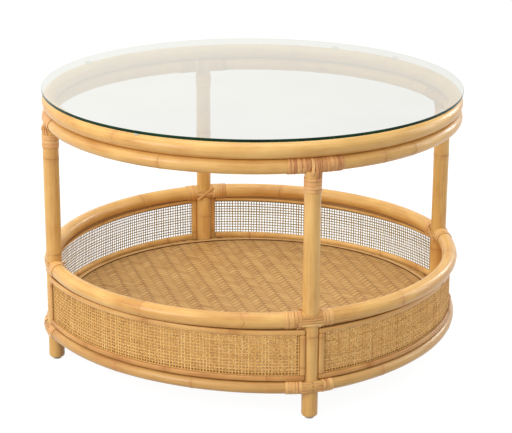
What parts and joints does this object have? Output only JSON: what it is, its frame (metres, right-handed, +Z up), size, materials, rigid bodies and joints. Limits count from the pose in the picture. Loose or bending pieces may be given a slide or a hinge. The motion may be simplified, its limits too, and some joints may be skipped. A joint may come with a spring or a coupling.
{
  "type": "coffee table",
  "caption": "Round wicker coffee table: loose glass top on stacked pole hoops, four pole legs and a low cane-walled basket shelf with a woven mat.",
  "frame": {"origin": "centre of the four feet on the floor, under the middle of the round top", "axes": "+Z up; the four legs stand on the X and Y axes, front leg on -Y, right leg on +X, back leg on +Y, left leg on -X"},
  "size_m": [0.7728, 0.7728, 0.49],
  "materials": {
    "glass": "clear tempered glass with a polished dark green edge",
    "clear_pad": "clear soft plastic bumper",
    "rattan_pole": "satin lacquered rattan pole, honey tan, with node rings",
    "woven_cane": "close square-woven cane webbing",
    "rattan_trim": "flat split rattan strip, satin",
    "rattan_peel": "wound rattan peel, satin",
    "plywood": "bare plywood and softwood",
    "woven_mat": "twill-woven split bamboo mat",
    "glide_plastic": "grey moulded plastic",
    "steel": "plain steel fastener"
  },
  "bodies": {
    "frame": {"glass_pads": "clear_pad", "top_hoop_upper": "rattan_pole", "top_hoop_lower": "rattan_pole", "leg_front": "rattan_pole", "leg_right": "rattan_pole", "leg_back": "rattan_pole", "leg_left": "rattan_pole", "rim_rail_front_right": "rattan_pole", "rim_rail_back_right": "rattan_pole", "rim_rail_back_left": "rattan_pole", "rim_rail_front_left": "rattan_pole", "base_rail_front_right": "rattan_pole", "base_rail_back_right": "rattan_pole", "base_rail_back_left": "rattan_pole", "base_rail_front_left": "rattan_pole", "cane_panel_front_right": "woven_cane", "cane_panel_back_right": "woven_cane", "cane_panel_back_left": "woven_cane", "cane_panel_front_left": "woven_cane", "outer_trim_front_right": "rattan_trim", "outer_trim_back_right": "rattan_trim", "outer_trim_back_left": "rattan_trim", "outer_trim_front_left": "rattan_trim", "inner_trim_front_right": "rattan_trim", "inner_trim_back_right": "rattan_trim", "inner_trim_back_left": "rattan_trim", "inner_trim_front_left": "rattan_trim", "top_binding_front": "rattan_peel", "top_binding_right": "rattan_peel", "top_binding_back": "rattan_peel", "top_binding_left": "rattan_peel", "rim_binding_front": "rattan_peel", "rim_binding_right": "rattan_peel", "rim_binding_back": "rattan_peel", "rim_binding_left": "rattan_peel", "base_binding_front": "rattan_peel", "base_binding_right": "rattan_peel", "base_binding_back": "rattan_peel", "base_binding_left": "rattan_peel", "shelf_board": "plywood", "shelf_mat": "woven_mat", "shelf_edge_band": "rattan_trim", "shelf_battens": "plywood", "foot_glides": "glide_plastic", "glide_nails": "steel", "hoop_screws": "steel", "leg_top_screws": "steel", "rim_joint_pins": "steel", "base_joint_pins": "steel", "trim_brads": "steel", "shelf_screws": "steel", "batten_dowels": "plywood"},
    "glass": {"glass_top": "glass"}
  },
  "joints": [
    {"name": "glass_lift", "type": "slide", "parent": "frame", "child": "glass", "axis": [0, 0, 1], "range_m": [0, 0.1]}
  ]
}
